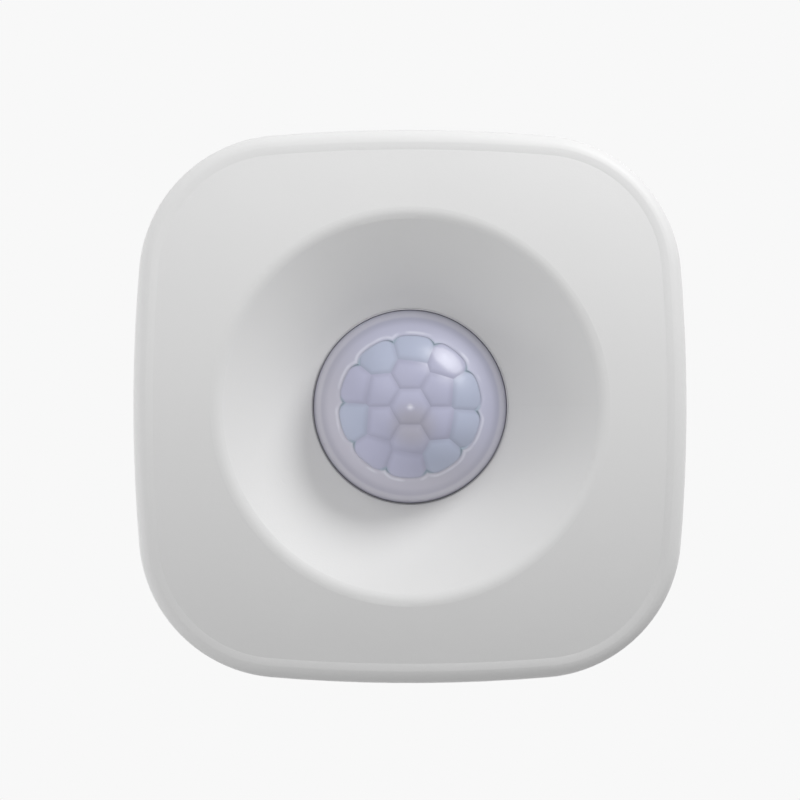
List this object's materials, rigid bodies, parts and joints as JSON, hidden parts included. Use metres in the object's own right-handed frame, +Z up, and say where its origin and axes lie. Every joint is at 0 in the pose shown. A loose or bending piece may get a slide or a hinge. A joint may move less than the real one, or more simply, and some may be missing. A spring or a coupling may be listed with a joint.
{
  "type": "motion sensor",
  "caption": "Square wall-mounted motion sensor with bulged sides, a round dish in its face and a milky dome lens, on a screw-fixed back plate.",
  "frame": {"origin": "centre of the back plate's flat rear face, which lies on the wall", "axes": "-Y from the wall towards the room, +Z up, +X to the right seen from the room"},
  "size_m": [0.065, 0.03, 0.065],
  "materials": {
    "case_plastic": "fine satin moulded ABS",
    "lens_plastic": "milky translucent polyethylene, smooth outside",
    "gasket_rubber": "soft grey silicone",
    "retainer_plastic": "natural nylon",
    "board": "green solder mask on glass fibre board",
    "radio_board": "dark blue solder mask",
    "tinned_steel": "tinned, softly bright",
    "detector_window": "coated silicon filter",
    "chip_epoxy": "moulded epoxy",
    "chip_leads": "tin-plated",
    "led_resin": "clear resin",
    "ceramic": "sintered ceramic with tinned ends",
    "resistor_body": "coated film with tinned ends",
    "capacitor_can": "bare aluminium can on a black foot",
    "inductor_core": "ferrite resin",
    "switch_plastic": "black switch housing",
    "plunger_plastic": "acetal",
    "battery_steel": "nickel-plated can",
    "battery_sleeve": "plain printed shrink sleeve, no marks",
    "contact_nickel": "nickel-plated spring steel",
    "screw_steel": "zinc-plated steel"
  },
  "bodies": {
    "wall_plate": {"back_plate": "case_plastic"},
    "sensor": {"rear_housing": "case_plastic", "front_cover": "case_plastic", "lens": "lens_plastic", "lens_gasket": "gasket_rubber", "lens_retainer": "retainer_plastic", "main_pcb": "board", "pir_can": "tinned_steel", "pir_window": "detector_window", "pir_header": "tinned_steel", "pir_leads": "tinned_steel", "status_led": "led_resin", "radio_module_board": "radio_board", "radio_shield_can": "tinned_steel", "controller_chip": "chip_epoxy", "amplifier_chip": "chip_epoxy", "regulator_chip": "chip_epoxy", "chip_leads": "chip_leads", "crystal": "tinned_steel", "electrolytic_capacitor": "capacitor_can", "inductor": "inductor_core", "ceramic_capacitors": "ceramic", "resistors": "resistor_body", "pairing_switch_body": "switch_plastic", "tamper_switch_body": "switch_plastic", "tamper_spring": "contact_nickel", "battery_upper": "battery_steel", "battery_upper_sleeve": "battery_sleeve", "battery_lower": "battery_steel", "battery_lower_sleeve": "battery_sleeve", "battery_bridge_plate": "contact_nickel", "bridge_spring": "contact_nickel", "positive_terminal": "contact_nickel", "negative_terminal": "contact_nickel", "negative_spring": "contact_nickel", "housing_screws": "screw_steel", "board_screws": "screw_steel"},
    "pairing_button": {"pairing_button": "case_plastic", "pairing_switch_plunger": "plunger_plastic"},
    "tamper_plunger": {"tamper_plunger": "plunger_plastic"}
  },
  "joints": [
    {"name": "sensor_release", "type": "slide", "parent": "wall_plate", "child": "sensor", "axis": [0, -1, 0], "range_m": [0, 0.045]},
    {"name": "pairing_press", "type": "slide", "parent": "sensor", "child": "pairing_button", "axis": [0, 0, -1], "range_m": [0, 0.00035], "stiffness_N_per_m": 1500, "springref_m": -0.0003},
    {"name": "tamper_slide", "type": "slide", "parent": "sensor", "child": "tamper_plunger", "axis": [0, 1, 0], "range_m": [0, 0.0015], "deforming": ["tamper_spring"]}
  ],
  "couplings": [
    {"joint": "tamper_slide", "follows": "sensor_release", "ratio": 0.033333}
  ]
}
